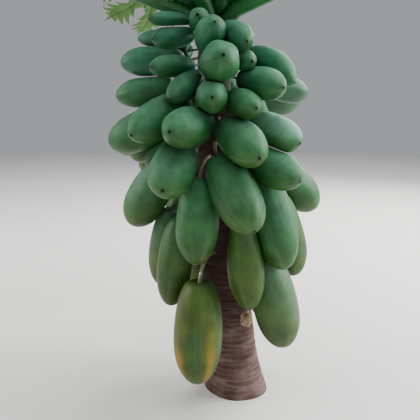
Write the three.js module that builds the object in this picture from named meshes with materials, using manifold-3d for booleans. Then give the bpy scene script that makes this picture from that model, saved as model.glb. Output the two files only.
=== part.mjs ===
// A papaya tree that fruits low: a soft trunk, a packed column of green fruit that hangs from it on short
// stalks, and a crown of palmate leaves on long stalks. Millimetres and degrees, +Z up, origin on the ground
// in the middle of the trunk's foot. The side with the ripening fruit looks along -Y.
import * as THREE from "three";
import { mergeVertices } from "three/addons/utils/BufferGeometryUtils.js";
import Module from "manifold-3d";

const wasm = await Module();
wasm.setup();
const { degToRad, lerp, smoothstep, clamp } = THREE.MathUtils;

// Trunk
const TRUNK_HEIGHT = 1500;
const TRUNK_FOOT_RADIUS = 100;
const TRUNK_TIP_RADIUS = 38;
const FLARE = 16;
const FLARE_HEIGHT = 60;
const LEAN = 105;
const LEAN_HEIGHT = 700;
const TRUNK_SIDES = 18;
const TRUNK_RINGS = 12;
const RINGS_TO_FOOT = 1.3;

// Neighbours stay this far apart
const CLEAR = 0.3;

// Fruit of the front. Each row: heading of its stalk round the trunk (0 is -Y, 90 is +X), height of its stalk
// end, drop of its axis below the level, length, width, turn of its axis from that heading, and how far its
// stalk end stands off the bark.
const FRONT_FRUIT = [
  // The oldest and lowest hang straight down, the first of them ripening
  [-23, 475, 86, 350, 158, 0, 120],
  [57, 530, 75, 320, 152, 0, 90],
  [-60, 660, 82, 305, 116, 0, 78],
  [26, 685, 81, 305, 118, 0, 105],
  [-98, 672, 82, 290, 122, 0, 92],
  [76, 736, 76, 298, 128, 0, 130],
  [55, 812, 75, 312, 142, 0, 100],
  // Full-grown fruit of the middle slant outwards
  [-21, 808, 88, 275, 136, 0, 124],
  [4, 864, 42, 282, 142, 22, 58],
  [-90, 838, 60, 258, 138, 0, 100],
  [98, 830, 41, 284, 140, 0, 70],
  [46, 914, 19, 244, 122, 0, 62],
  [-48, 868, 22, 240, 140, 34, 62],
  [-104, 945, 40, 190, 96, -6, 50],
  [14, 954, 19, 236, 122, 9, 56],
  [50, 930, 20, 200, 106, -8, 60],
  [-17, 966, 4, 232, 120, -8, 52],
  [-98, 985, 23, 270, 130, -6, 58],
  [-128, 945, 26, 250, 104, 8, 150],
  [-132, 915, 34, 225, 104, 6, 135],
  [-46, 1032, 22, 260, 114, 8, 66],
  [62, 1053, 73, 140, 62, 0, 86],
  // Half-grown fruit of the upper column stand out almost level
  [-4, 1047, 2, 190, 96, 4, 51],
  [22, 1036, 8, 185, 88, 0, 58],
  [-102, 1080, 8, 220, 100, -6, 80],
  [-27, 1109, 24, 177, 78, -3, 48],
  [104, 1091, 10, 205, 91, 10, 84],
  [39, 1100, 10, 190, 95, -4, 75],
  [2, 1131, -6, 205, 113, 3, 46],
  [-44, 1140, 4, 170, 68, 0, 44],
  [56, 1178, 24, 215, 84, -6, 56],
  [-102, 1164, 0, 232, 100, -6, 46],
  [29, 1156, 7, 110, 62, -5, 80],
  // The youngest point a little upwards
  [20, 1243, 18, 162, 86, 2, 44],
  [-14, 1202, -15, 160, 88, 24, 38],
  [-55, 1240, 9, 148, 70, 4, 34],
  [-110, 1237, -1, 171, 58, -4, 54],
  [-55, 1274, 4, 150, 46, 4, 39],
  [-22, 1256, -4, 118, 64, 17, 34],
];

// Two of them have a shape of their own: one has a narrow neck, one is arched
const GOURD = 3;
const NECK = 0.12;
const CURVED = 30;
const CURVE = 24;

// Fruit round the back: tiers of two or three. Pairs of values go from the youngest and highest to the oldest
// and lowest.
const BACK_TIERS = [2, 2, 3, 3, 3, 2];
const BACK_LOW = 575;
const BACK_HIGH = 1195;
const BACK_SPREAD = 150;
const BACK_STAGGER = 18;
const BACK_YOUNGEST = 1250;
const BACK_OLDEST = 570;
const BACK_DROP = [-6, 86];
const BACK_LENGTH = [160, 325];
const BACK_WIDTH = [80, 142];
const BACK_STAND = [40, 100];

// The shape of a fruit: places of its rings along the axis, how pointed its stalk end and its tip are, and where
// its belly sits
const FRUIT_STATIONS = [0, 0.04, 0.24, 0.6, 0.87, 1];
const FRUIT_POINTS = [0.22, 0.42];
const FRUIT_BELLY = 1.12;
const LARGE_FRUIT = 118;

// Fruit stalks: thickness by the fruit's width, how far the root sits in the bark, and how far the end
// reaches into the fruit
const FRUIT_STALK = 0.055;
const STALK_IN_BARK = 12;
const STALK_ABOVE = 12;
const STALK_HANG = 45;
const STALK_IN_FRUIT = 0.09;
const HIGHEST_STALK = 1240;

// How the fruit settle: passes, places along the axis that are tried, how far two may press into each other, the
// space left to the bark, and how firmly each fruit holds its place along X, Y and Z
const SETTLE_PASSES = 160;
const SETTLE_SAMPLES = [0.03, 0.14, 0.32, 0.52, 0.72, 0.9];
const FRUIT_PRESS = 6;
const BARK_SPACE = 3;
const FLAT_STEP = 0.04;
const NEIGHBOURHOOD = 160;
const HOLD = new THREE.Vector3(0.05, 0.006, 0.05);

// Leaves, numbered from the lowest and oldest. Pairs of values go from the oldest to the youngest.
const LEAF_COUNT = 22;
const LEAF_DIVERGENCE = 137.5;
const LEAF_START = -75;
const LEAF_HEIGHT = [1290, 1478];
const LEAF_RISE = [14, 76];
const LEAF_STALK = [920, 450];
const STALK_THICK = 0.025;
const STALK_TAPER = 0.42;
const STALK_BOW = 3;
const BLADE_SIZE = [365, 190];
const BLADE_TILT = [52, 16];
const BLADE_SAG = [0.3, 0.16];
const SAG_POWER = 1.7;
const BLADE_ROLL = 12;
const BLADE_THICK = 8;

// Lobes of a blade, from the middle one to the last at the side: lengths and half widths by the blade's size
const LOBE_ANGLE = 36;
const LOBE_LENGTHS = [1, 0.96, 0.86, 0.68, 0.46];
const LOBE_WAIST = [0.5, 0.055];
const LOBE_TEETH = [0.76, 0.15];
const SINUS = 0.27;
const REAR_SINUS = 0.19;
const BLADE_HEEL = 0.1;

// Small fruit that still stand in the angles of the lowest leaf stalks
const AXIL_FRUIT = 8;
const AXIL_LENGTH = [115, 45];
const AXIL_WIDTH = 0.42;
const AXIL_ABOVE = 34;

// The cuff of leaf bases round the top of the trunk, in quarters that each carry the leaves on their side
const CUFF_FOOT = 1268;
const CUFF_TOP = 1486;
const CUFF_THICK = 11;
const COLLAR = 18;
const QUARTERS = ["front", "right", "back", "left"];

// The bud over the trunk's tip, with the youngest leaves still folded round it
const BUD_HEIGHT = 90;
const BUD_RADII = [24, 8];
const FOLDED_LEAVES = 3;
const FOLDED_LENGTH = 190;
const FOLDED_WIDTH = 26;
const FOLDED_RISE = 84;

// A unit vector from its heading round the trunk and its drop below the level.
function direction(heading, drop) {
  const h = degToRad(heading);
  const d = degToRad(drop);
  return new THREE.Vector3(Math.sin(h) * Math.cos(d), -Math.cos(h) * Math.cos(d), -Math.sin(d));
}

// Numbers from -1 to 1 that look irregular and are the same on every run.
const wobble = (i, kind) => ((i * 0.618034 + kind * 0.754878) % 1) * 2 - 1;

// Moves every point of a geometry to the place that a rule gives it.
function bent(geometry, place) {
  const { position } = geometry.attributes;
  for (let i = 0; i < position.count; i++)
    position.setXYZ(i, ...place(new THREE.Vector3().fromBufferAttribute(position, i)));
  return geometry;
}

// A tapering round limb along a curve.
function limb(curve, radiusAt, sides, steps) {
  const { normals, binormals } = curve.computeFrenetFrames(steps);
  return bent(new THREE.CylinderGeometry(1, 1, steps, sides, steps), ({ x, y, z }) => {
    const step = Math.round(y + steps / 2);
    const radius = radiusAt(step / steps);
    return curve
      .getPointAt(step / steps)
      .addScaledVector(normals[step], radius * x)
      .addScaledVector(binormals[step], -radius * z);
  });
}

function solid(geometry) {
  geometry.deleteAttribute("normal");
  geometry.deleteAttribute("uv");
  const merged = mergeVertices(geometry, 1e-3);
  const vertProperties = merged.attributes.position.array;
  const triVerts = new Uint32Array(merged.index.array);
  return new wasm.Manifold(new wasm.Mesh({ numProp: 3, vertProperties, triVerts }));
}

// A named mesh of a solid, placed at the point that it grows from. Scraps that a cut leaves are dropped.
function piece(name, made, root, material) {
  const [largest] = made.decompose().sort((a, b) => b.volume() - a.volume());
  const { vertProperties, triVerts } = largest.getMesh();
  const geometry = new THREE.BufferGeometry();
  geometry.setAttribute("position", new THREE.BufferAttribute(vertProperties, 3));
  geometry.setIndex(new THREE.BufferAttribute(triVerts, 1));
  geometry.translate(-root.x, -root.y, -root.z);
  geometry.computeVertexNormals();
  const mesh = new THREE.Mesh(geometry, material);
  mesh.name = name;
  mesh.position.copy(root);
  return mesh;
}

function trunkCentre(z) {
  return new THREE.Vector3(-LEAN * (1 - Math.exp(-Math.max(z, 0) / LEAN_HEIGHT)), 0, z);
}

function trunkRadius(z) {
  return lerp(TRUNK_FOOT_RADIUS, TRUNK_TIP_RADIUS, z / TRUNK_HEIGHT) + FLARE * Math.exp(-z / FLARE_HEIGHT);
}

// A point on the bark or, with out, that far off it.
function onTrunk(heading, height, out = 0) {
  return trunkCentre(height).addScaledVector(direction(heading, 0), trunkRadius(height) + out);
}

// The trunk, or with grow a skin round it.
function trunkSolid(grow = 0) {
  const shaft = new THREE.CylinderGeometry(1, 1, 1, TRUNK_SIDES, TRUNK_RINGS);
  const skin = bent(shaft, ({ x, y, z }) => {
    const height = TRUNK_HEIGHT * (y + 0.5) ** RINGS_TO_FOOT;
    const radius = trunkRadius(height) + grow;
    return trunkCentre(height).add(new THREE.Vector3(radius * x, -radius * z, 0));
  });
  return solid(skin);
}

function fruitRadius({ width, neck = 0 }, t) {
  const power = lerp(...FRUIT_POINTS, smoothstep(t, 0.5, 1));
  const round = Math.sin(Math.PI * clamp(t, 0, 1) ** FRUIT_BELLY) ** power;
  return (width / 2) * round * (1 - neck * (1 - smoothstep(t, 0.1, 0.65)));
}

function fruitAt(heading, height, drop, length, width, turn, stand) {
  const foot = onTrunk(heading, height, stand);
  const tip = foot.clone().addScaledVector(direction(heading + turn, drop), length);
  return { foot, tip, length, width, wished: [foot.clone(), tip.clone()] };
}

function backFruit() {
  const fruit = [];
  BACK_TIERS.forEach((count, tier) => {
    const level = lerp(BACK_LOW, BACK_HIGH, tier / (BACK_TIERS.length - 1));
    for (let k = 0; k < count; k++) {
      const i = fruit.length;
      const stagger = tier % 2 ? BACK_STAGGER : -BACK_STAGGER;
      const heading = 180 + ((k - (count - 1) / 2) * BACK_SPREAD) / count + stagger;
      const height = level + 20 * wobble(i, 4);
      const age = clamp((BACK_YOUNGEST - height) / (BACK_YOUNGEST - BACK_OLDEST), 0, 1);
      const drop = lerp(...BACK_DROP, smoothstep(age, 0.1, 0.85));
      const length = lerp(...BACK_LENGTH, age) + 14 * wobble(i, 1);
      const width = lerp(...BACK_WIDTH, Math.sqrt(age)) + 5 * wobble(i, 2);
      fruit.push(fruitAt(heading, height, drop, length, width, 4 * wobble(i, 3), lerp(...BACK_STAND, age)));
    }
  });
  return fruit;
}

// Pushes the point of a fruit's axis at t.
function push(fruit, t, by) {
  const share = (1 - t) ** 2 + t ** 2;
  fruit.foot.addScaledVector(by, (1 - t) / share);
  fruit.tip.addScaledVector(by, t / share);
}

// Whether two fruit are near enough to touch each other, or each other's stalk.
function near(a, b) {
  const between = a.foot.clone().add(a.tip).sub(b.foot).sub(b.tip).length() / 2;
  return between < (a.length + b.length) / 2 + NEIGHBOURHOOD;
}

function pushApart(a, b) {
  if (!near(a, b)) return;
  for (const ta of SETTLE_SAMPLES)
    for (const tb of SETTLE_SAMPLES) {
      const gap = b.foot.clone().lerp(b.tip, tb).sub(a.foot.clone().lerp(a.tip, ta));
      const lap = fruitRadius(a, ta) + fruitRadius(b, tb) - FRUIT_PRESS - gap.length();
      if (lap <= 0) continue;
      push(b, tb, gap.setLength(lap / 4));
      push(a, ta, gap.negate());
    }
}

function pushOffTrunk(fruit) {
  for (const t of SETTLE_SAMPLES) {
    const at = fruit.foot.clone().lerp(fruit.tip, t);
    const gap = at.clone().sub(trunkCentre(at.z));
    const lap = fruitRadius(fruit, t) + trunkRadius(at.z) + BARK_SPACE - gap.length();
    if (lap > 0) push(fruit, t, gap.setLength(lap / 2));
  }
}

// Draws a fruit back to the place wished for it, and to its length.
function recover(fruit) {
  [fruit.foot, fruit.tip].forEach((end, i) => end.add(fruit.wished[i].clone().sub(end).multiply(HOLD)));
  const along = fruit.tip.clone().sub(fruit.foot);
  along.setLength((fruit.length - along.length()) / 2);
  fruit.tip.add(along);
  fruit.foot.sub(along);
}

// Fruit that grow into each other push each other aside.
function settle(fruits) {
  for (let pass = 0; pass < SETTLE_PASSES; pass++) {
    fruits.forEach((a, i) => fruits.slice(i + 1).forEach((b) => pushApart(a, b)));
    fruits.forEach(pushOffTrunk);
    fruits.forEach(recover);
  }
}

// A body of revolution from the stalk end to the blossom end, arched upwards where the fruit is curved.
function fruitBody(fruit) {
  const { foot, tip, length, width, curve = 0 } = fruit;
  const profile = FRUIT_STATIONS.map((t) => new THREE.Vector2(fruitRadius(fruit, t), t * length));
  const axis = tip.clone().sub(foot).normalize();
  const up = new THREE.Vector3(0, 0, 1).addScaledVector(axis, -axis.z).normalize();
  const turn = new THREE.Quaternion().setFromUnitVectors(new THREE.Vector3(0, 1, 0), axis);
  const body = bent(new THREE.LatheGeometry(profile, width > LARGE_FRUIT ? 10 : 8), (p) => {
    const t = p.y / length;
    return p.applyQuaternion(turn).add(foot).addScaledVector(up, curve * (4 * t * (1 - t) - 0.4));
  });
  return solid(body);
}

// The stalk leaves the bark a little above the fruit and bends down into its shoulder.
function fruitStalkPath(fruit) {
  const axis = fruit.tip.clone().sub(fruit.foot).normalize();
  const height = Math.min(fruit.foot.z + STALK_ABOVE - STALK_HANG * axis.z, HIGHEST_STALK);
  const out = fruit.foot.clone().sub(trunkCentre(fruit.foot.z)).setZ(0).normalize();
  const start = trunkCentre(height).addScaledVector(out, trunkRadius(height) - STALK_IN_BARK);
  const bend = fruit.foot.clone().addScaledVector(axis, -0.5 * start.distanceTo(fruit.foot));
  const end = fruit.foot.clone().addScaledVector(axis, STALK_IN_FRUIT * fruit.length);
  return new THREE.QuadraticBezierCurve3(start, bend, end);
}

function fruitStalk(fruit, grow = 0) {
  const radius = fruit.width * FRUIT_STALK;
  return solid(limb(fruitStalkPath(fruit), (t) => radius * lerp(1.2, 0.95, t) + grow, 5, 2));
}

// The flats that two fruit press on each other where they still lap, or nothing.
function pressedFlats(a, b) {
  let closest = { gap: CLEAR };
  for (let ta = 0; ta <= 1; ta += FLAT_STEP)
    for (let tb = 0; tb <= 1; tb += FLAT_STEP) {
      const onA = a.foot.clone().lerp(a.tip, ta);
      const onB = b.foot.clone().lerp(b.tip, tb);
      const gap = onA.distanceTo(onB) - fruitRadius(a, ta) - fruitRadius(b, tb);
      if (gap < closest.gap) closest = { gap, ta, tb, onA, onB };
    }
  if (!closest.onA) return null;
  const across = closest.onB.clone().sub(closest.onA).normalize();
  const sideOfA = closest.onA.dot(across) + fruitRadius(a, closest.ta);
  const sideOfB = closest.onB.dot(across) - fruitRadius(b, closest.tb);
  const middle = (sideOfA + sideOfB) / 2;
  return [
    [across.clone().negate().toArray(), CLEAR / 2 - middle],
    [across.toArray(), middle + CLEAR / 2],
  ];
}

const clearOf = (made, others) => others.reduce((rest, other) => rest.subtract(other), made);

// Bodies with their stalks, none of them inside another fruit or across another stalk.
function fruitSolids(fruits) {
  const bodies = fruits.map(fruitBody);
  fruits.forEach((a, i) => {
    for (let k = i + 1; k < fruits.length; k++) {
      const flats = near(a, fruits[k]) && pressedFlats(a, fruits[k]);
      if (!flats) continue;
      bodies[i] = bodies[i].trimByPlane(...flats[0]);
      bodies[k] = bodies[k].trimByPlane(...flats[1]);
    }
  });
  const passing = fruits.map((fruit) => fruitStalk(fruit, 2 * CLEAR));
  return bodies.map((body, i) => {
    const beside = (stalk, k) => k !== i && near(fruits[i], fruits[k]);
    const later = passing.filter((stalk, k) => k > i && beside(stalk, k));
    const earlier = passing.filter((stalk, k) => k < i && beside(stalk, k));
    const whole = clearOf(body, later).add(fruitStalk(fruits[i]));
    return clearOf(whole, earlier);
  });
}

function leafPlan(i) {
  const youth = i / (LEAF_COUNT - 1);
  return {
    heading: LEAF_START + i * LEAF_DIVERGENCE + 3 * wobble(i, 13),
    height: lerp(...LEAF_HEIGHT, youth),
    rise: lerp(...LEAF_RISE, youth ** 1.1) + 2 * wobble(i, 14),
    stalk: lerp(...LEAF_STALK, smoothstep(youth, 0.5, 1)) * (1 + 0.1 * wobble(i, 15)),
    blade: lerp(...BLADE_SIZE, smoothstep(youth, 0.2, 1)),
    tilt: lerp(...BLADE_TILT, youth),
    roll: BLADE_ROLL * wobble(i, 12),
    sag: lerp(...BLADE_SAG, youth),
  };
}

function leafStalkPath({ heading, height, rise, stalk }) {
  const root = onTrunk(heading, height, -4);
  const bend = root.clone().addScaledVector(direction(heading, -rise - STALK_BOW), stalk * 0.55);
  const end = root.clone().addScaledVector(direction(heading, -rise + STALK_BOW / 2), stalk);
  return new THREE.QuadraticBezierCurve3(root, bend, end);
}

// The blade's own frame: x to its side, y along its middle lobe and z out of its upper face.
function bladeFrame(leaf) {
  const ahead = direction(leaf.heading, leaf.tilt);
  const side = direction(leaf.heading + 90, 0).applyAxisAngle(ahead, degToRad(leaf.roll));
  const up = new THREE.Vector3().crossVectors(side, ahead);
  return new THREE.Matrix4().makeBasis(side, ahead, up).setPosition(leafStalkPath(leaf).getPoint(1));
}

// The palmate outline: every lobe is a waist, a pair of side teeth and a tip, with a notch to the next.
function bladeOutline(size) {
  const outline = new THREE.Shape();
  const at = (angle, radius, across = 0) => {
    const a = degToRad(angle);
    return [radius * Math.sin(a) + across * Math.cos(a), radius * Math.cos(a) - across * Math.sin(a)];
  };
  outline.moveTo(...at(180, BLADE_HEEL * size));
  const last = LOBE_LENGTHS.length - 1;
  for (let k = -last; k <= last; k++) {
    const reach = size * LOBE_LENGTHS[Math.abs(k)];
    const angle = k * LOBE_ANGLE;
    outline.lineTo(...at(angle - LOBE_ANGLE / 2, size * (k === -last ? REAR_SINUS : SINUS)));
    outline.lineTo(...at(angle, LOBE_WAIST[0] * reach, -LOBE_WAIST[1] * size));
    outline.lineTo(...at(angle, LOBE_TEETH[0] * reach, -LOBE_TEETH[1] * reach));
    outline.lineTo(...at(angle, reach));
    outline.lineTo(...at(angle, LOBE_TEETH[0] * reach, LOBE_TEETH[1] * reach));
    outline.lineTo(...at(angle, LOBE_WAIST[0] * reach, LOBE_WAIST[1] * size));
  }
  outline.lineTo(...at((last + 0.5) * LOBE_ANGLE, REAR_SINUS * size));
  return outline;
}

function bladeSolid(leaf) {
  const flat = new THREE.ExtrudeGeometry(bladeOutline(leaf.blade), { depth: BLADE_THICK, bevelEnabled: false });
  const fallAt = (radius) => leaf.sag * leaf.blade * (radius / leaf.blade) ** SAG_POWER;
  const hub = fallAt(SINUS * leaf.blade) - BLADE_THICK / 2;
  const drooping = bent(flat, (p) => p.setZ(p.z + hub - fallAt(Math.hypot(p.x, p.y))));
  return solid(drooping.applyMatrix4(bladeFrame(leaf)));
}

function leafSolid(leaf) {
  const thick = STALK_THICK * leaf.stalk;
  const stalk = limb(leafStalkPath(leaf), (t) => lerp(thick, thick * STALK_TAPER, t), 6, 3);
  return bladeSolid(leaf).add(solid(stalk));
}

// The small fruit over the base of leaf number i.
function axilFruit(leaf, i) {
  const length = lerp(...AXIL_LENGTH, i / AXIL_FRUIT);
  const foot = onTrunk(leaf.heading, leaf.height + AXIL_ABOVE);
  const tip = foot.clone().addScaledVector(direction(leaf.heading, -leaf.rise - 12), length);
  return fruitBody({ foot, tip, length, width: AXIL_WIDTH * length });
}

// What lies on one side of the trunk's top, from the quarter's middle heading.
function onSide(made, heading) {
  const centre = trunkCentre((CUFF_FOOT + CUFF_TOP) / 2);
  return [heading - 45, heading + 45].reduce((rest, across) => {
    const normal = direction(across, 0);
    return rest.trimByPlane(normal.toArray(), centre.dot(normal) + CLEAR / 2);
  }, made);
}

function between(made, foot, top) {
  return made.trimByPlane([0, 0, 1], foot).trimByPlane([0, 0, -1], -top);
}

// A quarter of the cuff with the leaves that grow from it, clear of the trunk and of the other quarters.
function crownQuarter(quarter, leaves) {
  const heading = quarter * 90;
  const cuff = onSide(between(trunkSolid(CUFF_THICK), CUFF_FOOT, CUFF_TOP), heading);
  const own = leaves.map((leaf, i) => ({ leaf, i }));
  const mine = own.filter(({ leaf }) => Math.round(leaf.heading / 90 + 8) % 4 === quarter);
  const grown = mine.map(({ leaf }) => leafSolid(leaf));
  const small = mine.filter(({ i }) => i < AXIL_FRUIT).map(({ leaf, i }) => axilFruit(leaf, i));
  const collar = trunkSolid(CUFF_THICK + COLLAR);
  const growth = wasm.Manifold.union([...grown, ...small]).subtract(collar.subtract(onSide(collar, heading)));
  return growth.add(cuff).subtract(trunkSolid(CLEAR));
}

// The bud: a blunt cone with the folded leaves upright round it.
function crownBud() {
  const foot = trunkCentre(TRUNK_HEIGHT + CLEAR);
  const cone = new THREE.LineCurve3(foot, foot.clone().setZ(TRUNK_HEIGHT + BUD_HEIGHT));
  let bud = solid(limb(cone, (t) => lerp(...BUD_RADII, t), 8, 1));
  for (let k = 0; k < FOLDED_LEAVES; k++) {
    const heading = LEAF_START + (LEAF_COUNT + k) * LEAF_DIVERGENCE;
    const length = FOLDED_LENGTH * (1 - 0.18 * k);
    const start = foot.clone().setZ(TRUNK_HEIGHT + 12).addScaledVector(direction(heading, 0), 9);
    const tip = start.clone().addScaledVector(direction(heading, -FOLDED_RISE), length);
    bud = bud.add(fruitBody({ foot: start, tip, length, width: FOLDED_WIDTH - 3 * k }));
  }
  return bud;
}

const MATERIALS = {
  bark: new THREE.MeshStandardMaterial({ color: 0x8a6f66, roughness: 0.9 }),
  leaf: new THREE.MeshStandardMaterial({ color: 0x4f8a2c, roughness: 0.6 }),
  fruit: new THREE.MeshStandardMaterial({ color: 0x3f7a45, roughness: 0.42 }),
  ripening: new THREE.MeshStandardMaterial({ color: 0x7f8a35, roughness: 0.42 }),
};

const tree = new THREE.Group();
tree.add(piece("trunk", trunkSolid(), new THREE.Vector3(), MATERIALS.bark));

const fruits = [...FRONT_FRUIT.map((row) => fruitAt(...row)), ...backFruit()];
fruits[GOURD].neck = NECK;
fruits[CURVED].curve = CURVE;
settle(fruits);
const barkSpace = trunkSolid(CLEAR);
fruitSolids(fruits).forEach((made, i) => {
  const name = `fruit_${String(i + 1).padStart(2, "0")}`;
  const root = fruitStalkPath(fruits[i]).getPoint(0);
  tree.add(piece(name, made.subtract(barkSpace), root, i ? MATERIALS.fruit : MATERIALS.ripening));
});

const leaves = Array.from({ length: LEAF_COUNT }, (_, i) => leafPlan(i));
QUARTERS.forEach((side, quarter) => {
  const root = onTrunk(quarter * 90, CUFF_FOOT);
  tree.add(piece(`leaves_${side}`, crownQuarter(quarter, leaves), root, MATERIALS.leaf));
});
tree.add(piece("crown_bud", crownBud(), trunkCentre(TRUNK_HEIGHT), MATERIALS.leaf));

export default tree;
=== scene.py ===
import math
from types import SimpleNamespace

import bpy
import numpy as np
from mathutils import Matrix, Vector


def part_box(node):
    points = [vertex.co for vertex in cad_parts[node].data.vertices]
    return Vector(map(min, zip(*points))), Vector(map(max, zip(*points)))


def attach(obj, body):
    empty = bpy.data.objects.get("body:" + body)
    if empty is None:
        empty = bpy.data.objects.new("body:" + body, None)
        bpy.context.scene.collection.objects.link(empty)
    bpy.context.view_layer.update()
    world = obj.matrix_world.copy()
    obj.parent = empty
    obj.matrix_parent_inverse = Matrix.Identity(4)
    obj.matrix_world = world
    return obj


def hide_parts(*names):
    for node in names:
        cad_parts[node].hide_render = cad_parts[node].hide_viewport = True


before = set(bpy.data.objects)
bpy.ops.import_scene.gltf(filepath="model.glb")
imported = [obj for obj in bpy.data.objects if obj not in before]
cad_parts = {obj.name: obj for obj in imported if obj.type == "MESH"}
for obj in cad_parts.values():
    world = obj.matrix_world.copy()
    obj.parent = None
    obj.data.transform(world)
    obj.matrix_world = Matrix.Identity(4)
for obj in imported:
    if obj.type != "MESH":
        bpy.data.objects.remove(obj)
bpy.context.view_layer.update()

# The stem
# A soft, pithy trunk with a thin skin in place of bark. Scars of fallen leaves wind up it to the crown, where
# the skin is still green. It is cut flat at the ground, which it is rooted in.
STEM_FOOT, STEM_TOP = (corner.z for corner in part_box("trunk"))
FOOT_RADIUS = 0.1
TIP_RADIUS = 0.038
FLARE = 0.016
FLARE_HEIGHT = 0.06
LEAN = 0.105
LEAN_HEIGHT = 0.7
STEM_SIDES = 144
STEM_RINGS = 640
DIVERGENCE = 137.5
LOWEST_LEAF = 1.29
FIRST_HEADING = -75
SCAR_RISE = 0.0118
SCAR_SHIFT = 0.002
SCAR_REACH = 66
SCAR_HEIGHT = 0.0105
SCAR_RIM = 0.0015
SCAR_FLOOR = 0.0009
RIM_WIDTH = 0.26
SCARS_FADE = (0.9, 1.3)
FADED = 0.6
WRINKLE = 0.0005
BULGE = 0.0016
FOOT_RIBS = 0.005
FOOT_RIBS_HEIGHT = 0.1


def direction(heading, drop):
    """A unit vector. Its heading round the stem is 0 for -Y and 90 for +X, and it drops below the level."""
    h = math.radians(heading)
    d = math.radians(drop)
    return np.array([math.sin(h) * math.cos(d), -math.cos(h) * math.cos(d), -math.sin(d)])


def stem_centre(z):
    """The middle of the stem at a height or an array of heights."""
    z = np.asarray(z, float)
    return np.stack([-LEAN * (1 - np.exp(-np.maximum(z, 0) / LEAN_HEIGHT)), 0 * z, z], -1)


def stem_radius(z):
    z = np.asarray(z, float)
    return FOOT_RADIUS + (TIP_RADIUS - FOOT_RADIUS) * z / STEM_TOP + FLARE * np.exp(-z / FLARE_HEIGHT)


def on_stem(heading, height, out=0.0):
    return stem_centre(height) + direction(heading, 0) * (stem_radius(height) + out)


def smooth(value, low, high):
    """A smooth step from 0 at low to 1 at high."""
    t = np.clip((np.asarray(value, float) - low) / (high - low), 0, 1)
    return t * t * (3 - 2 * t)


def ripple(a, b, a_waves, b_waves, seed, count=18):
    """An irregular surface over a and b, about -1 to 1, made of cosine waves in whole numbers round a."""
    rng = np.random.default_rng(seed)
    total = 0
    for _ in range(count):
        ka = rng.integers(-a_waves, a_waves + 1)
        kb = rng.uniform(-b_waves, b_waves)
        total = total + np.cos(ka * a + kb * b + rng.uniform(0, 2 * np.pi))
    return total / math.sqrt(2 * count)


def grid(rows, columns, wrap=False):
    """Quads between rows of points; with wrap the last column meets the first."""
    index = np.arange(rows * columns).reshape(rows, columns)
    if wrap:
        index = np.hstack([index, index[:, :1]])
    corners = [index[:-1, :-1], index[:-1, 1:], index[1:, 1:], index[1:, :-1]]
    return np.stack(corners, -1).reshape(-1, 4)


class Heap:
    """Gathers the parts of one joined mesh, each with the number of its material."""

    def __init__(self):
        self.points = []
        self.faces = []
        self.kinds = []
        self.count = 0

    def add(self, points, faces, kind=0):
        self.points.append(np.reshape(points, (-1, 3)))
        self.faces += [[corner + self.count for corner in face] for face in faces]
        self.kinds += [kind] * len(faces)
        self.count += len(self.points[-1])

    def add_rings(self, rings, kind=0):
        """A closed skin over rings of points, which run anticlockwise round the way ahead."""
        rows, sides = rings.shape[:2]
        faces = grid(rows, sides, wrap=True).tolist()
        faces.append(list(range(sides))[::-1])
        faces.append(list(range((rows - 1) * sides, rows * sides)))
        self.add(rings, faces, kind)

    def piece(self, name, *materials):
        mesh = bpy.data.meshes.new(name)
        mesh.from_pydata(np.concatenate(self.points).tolist(), [], self.faces)
        for material in materials:
            mesh.materials.append(material)
        mesh.polygons.foreach_set("material_index", self.kinds)
        mesh.shade_smooth()
        made = bpy.data.objects.new(name, mesh)
        bpy.context.scene.collection.objects.link(made)
        return made


def paint(piece, name, values):
    """Keeps a number for each point of a piece, for its material to read."""
    layer = piece.data.attributes.new(name, "FLOAT", "POINT")
    layer.data.foreach_set("value", np.ravel(values).astype(np.float32))


def node(tree, kind, values, **settings):
    """Adds a shader node. Its inputs are set by name or number, or linked where an output is given."""
    made = tree.nodes.new("ShaderNode" + kind)
    for name, value in settings.items():
        setattr(made, name, value)
    for name, value in values.items():
        if isinstance(value, bpy.types.NodeSocket):
            tree.links.new(value, made.inputs[name])
        else:
            made.inputs[name].default_value = value
    return made


def new_material(name, **values):
    """A material with its shader node; constant values are set on that node's own sockets."""
    made = bpy.data.materials.new(name)
    made.use_nodes = True
    shader = made.node_tree.nodes["Principled BSDF"]
    for label, value in values.items():
        shader.inputs[label.replace("_", " ")].default_value = value
    return made, made.node_tree, shader


def tint(red, green, blue):
    """A colour as shader nodes take it, from the 0 to 255 values that a screen shows."""
    return (*((value / 255) ** 2.2 for value in (red, green, blue)), 1)


def mixed(tree, factor, first, second):
    return node(tree, "Mix", {"Factor": factor, 6: first, 7: second}, data_type="RGBA").outputs[2]


def ramp(tree, value, low, high, start=0.0, end=1.0):
    """A smooth step in a material, from start at low to end at high."""
    values = {"Value": value, "From Min": low, "From Max": high, "To Min": start, "To Max": end}
    return node(tree, "MapRange", values, interpolation_type="SMOOTHSTEP").outputs["Result"]


def noise(tree, vector, scale, detail=3.0, roughness=0.5):
    values = {"Vector": vector, "Scale": scale, "Detail": detail, "Roughness": roughness}
    return node(tree, "TexNoise", values).outputs["Fac"]


def stretched(tree, vector, scale):
    """Coordinates scaled by a different amount along each axis."""
    return node(tree, "Mapping", {"Vector": vector, "Scale": scale}).outputs["Vector"]


def times(tree, first, second):
    return node(tree, "Math", {0: first, 1: second}, operation="MULTIPLY").outputs[0]


def laid(tree, colour, mask, strength, top):
    """A colour with another laid over it where the mask is."""
    return mixed(tree, times(tree, mask, strength), colour, top)


def on_piece(tree):
    """Coordinates that stay with the piece."""
    return node(tree, "TexCoord", {}).outputs["Object"]


def painted(tree, name):
    """A number that the mesh keeps for each of its points."""
    return node(tree, "Attribute", {}, attribute_name=name).outputs["Fac"]


def bumped(tree, height, strength, distance, **over):
    """Normals from a height map, over other normals if they are given."""
    values = {"Height": height, "Strength": strength, "Distance": distance, **over}
    return node(tree, "Bump", values).outputs["Normal"]


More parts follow.
